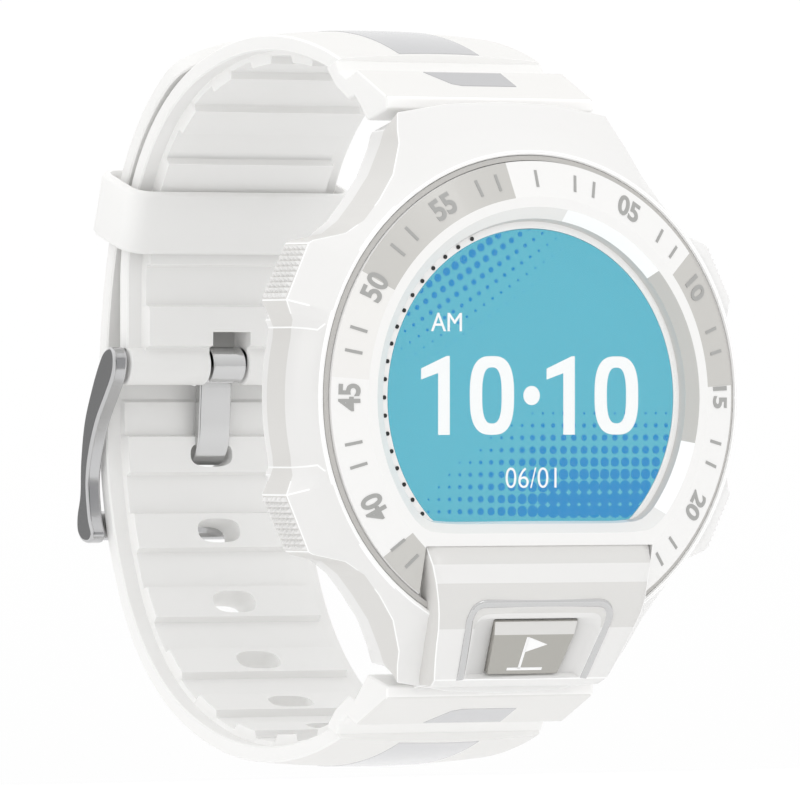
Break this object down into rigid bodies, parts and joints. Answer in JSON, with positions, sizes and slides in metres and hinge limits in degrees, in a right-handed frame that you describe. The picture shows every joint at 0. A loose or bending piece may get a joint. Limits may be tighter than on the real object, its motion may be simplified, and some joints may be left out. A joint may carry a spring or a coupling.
{
  "type": "golf gps watch",
  "caption": "Round-faced rugged GPS sport watch on a ribbed rubber strap buckled into a loop, with a front key below a flat-bottomed round screen.",
  "frame": {"origin": "middle of the sensor window's outer face on the case back, where the watch rests on the wrist", "axes": "+Y out of the case back into the wrist, +Z to 12 o'clock, +X to 3 o'clock seen from the dial side"},
  "size_m": [0.0484, 0.0639, 0.0684],
  "materials": {
    "case_white": "satin moulded white",
    "bezel_white": "two-tone white and pale grey facets",
    "strap_white": "soft white elastomer",
    "inlay_grey": "glossy pale grey",
    "silver_trim": "polished",
    "steel": "polished stainless",
    "screen": "lit screen with a time face",
    "screen_glass": "clear",
    "key_grey": "satin grey",
    "black_plastic": "matt black",
    "sensor_glass": "dark glossy window",
    "circuit_green": "solder-masked board",
    "foil": "thin sheet",
    "gold": "gold plated",
    "seal": "black seal rubber",
    "antenna": "fired ceramic"
  },
  "bodies": {
    "watch": {"outer_shell": "case_white", "bezel_ring": "bezel_white", "minute_ring": "case_white", "display_glass": "screen_glass", "display_panel": "screen", "display_bracket": "foil", "mid_case": "case_white", "key_trim": "silver_trim", "key_seal": "seal", "key_switch": "black_plastic", "main_board": "circuit_green", "processor_shield": "foil", "pressure_sensor": "foil", "gps_antenna": "antenna", "battery_cell": "foil", "vibration_motor": "steel", "sensor_board": "circuit_green", "sensor_window": "sensor_glass", "case_gasket": "seal", "case_back": "steel", "strap_upper": "strap_white", "strap_lower": "strap_white", "upper_long_inlay": "inlay_grey", "lower_long_inlay": "inlay_grey", "upper_short_inlay": "inlay_grey", "lower_short_inlay": "inlay_grey", "case_screw_1": "steel", "charge_contact_1": "gold", "case_screw_2": "steel", "charge_contact_2": "gold", "case_screw_3": "steel", "charge_contact_3": "gold", "case_screw_4": "steel", "charge_contact_4": "gold", "upper_lug_bar": "steel", "lower_lug_bar": "steel", "buckle_bar": "steel"},
    "key": {"front_key": "key_grey"},
    "keeper": {"strap_keeper": "strap_white"},
    "frame": {"buckle_frame": "steel"},
    "tongue": {"buckle_tongue": "steel"},
    "motor_rotor": {"motor_weight": "steel"},
    "upper_lug_bar_left_plunger": {"upper_lug_bar_tip_left": "steel"},
    "upper_lug_bar_right_plunger": {"upper_lug_bar_tip_right": "steel"},
    "lower_lug_bar_left_plunger": {"lower_lug_bar_tip_left": "steel"},
    "lower_lug_bar_right_plunger": {"lower_lug_bar_tip_right": "steel"},
    "buckle_bar_left_plunger": {"buckle_bar_tip_left": "steel"},
    "buckle_bar_right_plunger": {"buckle_bar_tip_right": "steel"}
  },
  "joints": [
    {"name": "key_press", "type": "slide", "parent": "watch", "child": "key", "axis": [0, 0.7431, 0.6691], "range_m": [0, 0.0005], "stiffness_N_per_m": 400, "springref_m": -0.002},
    {"name": "keeper_slide", "type": "hinge", "parent": "watch", "child": "keeper", "pos_m": [0, 0.02279, 0.01085], "axis": [1, 0, 0], "range_deg": [-7, 8]},
    {"name": "frame_swing", "type": "hinge", "parent": "watch", "child": "frame", "pos_m": [0, 0.0445, 0.0031], "axis": [1, 0, 0], "range_deg": [0, 45]},
    {"name": "tongue_swing", "type": "hinge", "parent": "watch", "child": "tongue", "pos_m": [0, 0.0445, 0.0031], "axis": [-1, 0, 0], "range_deg": [0, 50]},
    {"name": "motor_spin", "type": "hinge", "parent": "watch", "child": "motor_rotor", "pos_m": [-0.0015, -0.0056, -0.0136], "axis": [1, 0, 0], "continuous": true},
    {"name": "upper_lug_bar_left_press", "type": "slide", "parent": "watch", "child": "upper_lug_bar_left_plunger", "axis": [1, 0, 0], "range_m": [0, 0.0013], "stiffness_N_per_m": 3000, "springref_m": -0.0005},
    {"name": "upper_lug_bar_right_press", "type": "slide", "parent": "watch", "child": "upper_lug_bar_right_plunger", "axis": [-1, 0, 0], "range_m": [0, 0.0013], "stiffness_N_per_m": 3000, "springref_m": -0.0005},
    {"name": "lower_lug_bar_left_press", "type": "slide", "parent": "watch", "child": "lower_lug_bar_left_plunger", "axis": [1, 0, 0], "range_m": [0, 0.0013], "stiffness_N_per_m": 3000, "springref_m": -0.0005},
    {"name": "lower_lug_bar_right_press", "type": "slide", "parent": "watch", "child": "lower_lug_bar_right_plunger", "axis": [-1, 0, 0], "range_m": [0, 0.0013], "stiffness_N_per_m": 3000, "springref_m": -0.0005},
    {"name": "buckle_bar_left_press", "type": "slide", "parent": "watch", "child": "buckle_bar_left_plunger", "axis": [1, 0, 0], "range_m": [0, 0.0013], "stiffness_N_per_m": 3000, "springref_m": -0.0005},
    {"name": "buckle_bar_right_press", "type": "slide", "parent": "watch", "child": "buckle_bar_right_plunger", "axis": [-1, 0, 0], "range_m": [0, 0.0013], "stiffness_N_per_m": 3000, "springref_m": -0.0005}
  ]
}
